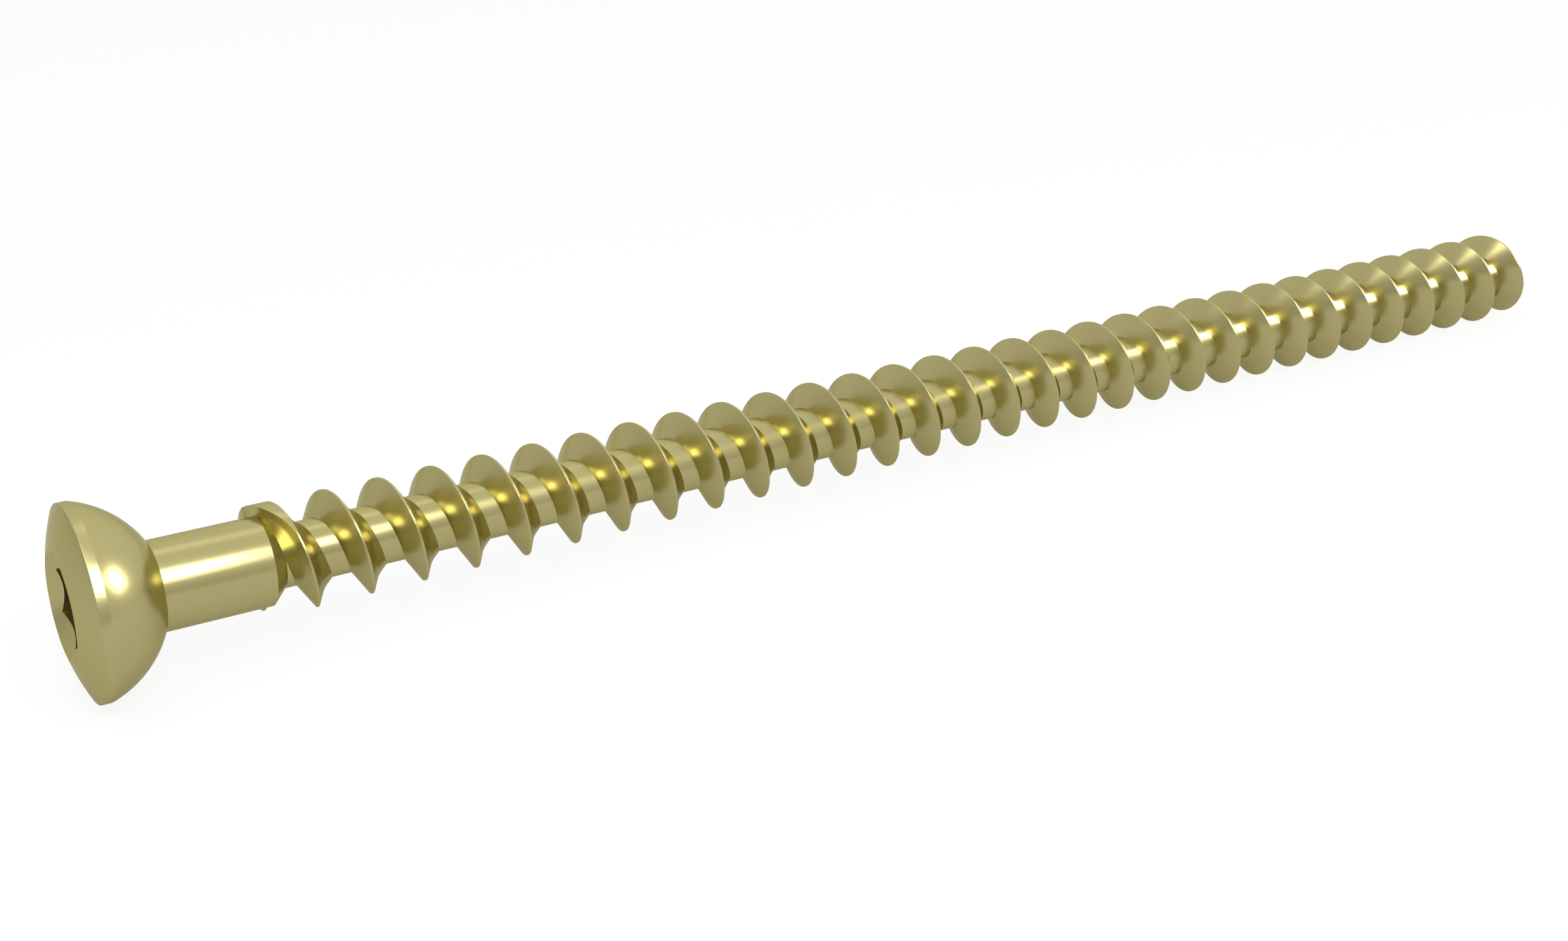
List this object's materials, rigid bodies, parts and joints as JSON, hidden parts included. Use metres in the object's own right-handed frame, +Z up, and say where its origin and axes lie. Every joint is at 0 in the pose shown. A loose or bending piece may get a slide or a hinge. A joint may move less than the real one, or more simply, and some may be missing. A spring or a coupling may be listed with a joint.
{
  "type": "cancellous bone screw",
  "caption": "Slim metal bone screw with a deep coarse thread nearly to its head, a short smooth neck and a round head with a hex socket.",
  "frame": {"origin": "centre of the screw's footprint on the table it lies on", "axes": "+X from the head towards the tip, +Z up; the screw's own axis leans 1.28 degrees down towards the tip, as it lies on its head's rim and its last full crest"},
  "size_m": [0.06, 0.006, 0.006],
  "materials": {
    "anodised_metal": "satin, pale gold anodised"
  },
  "bodies": {
    "root": {"screw": "anodised_metal"}
  },
  "joints": []
}
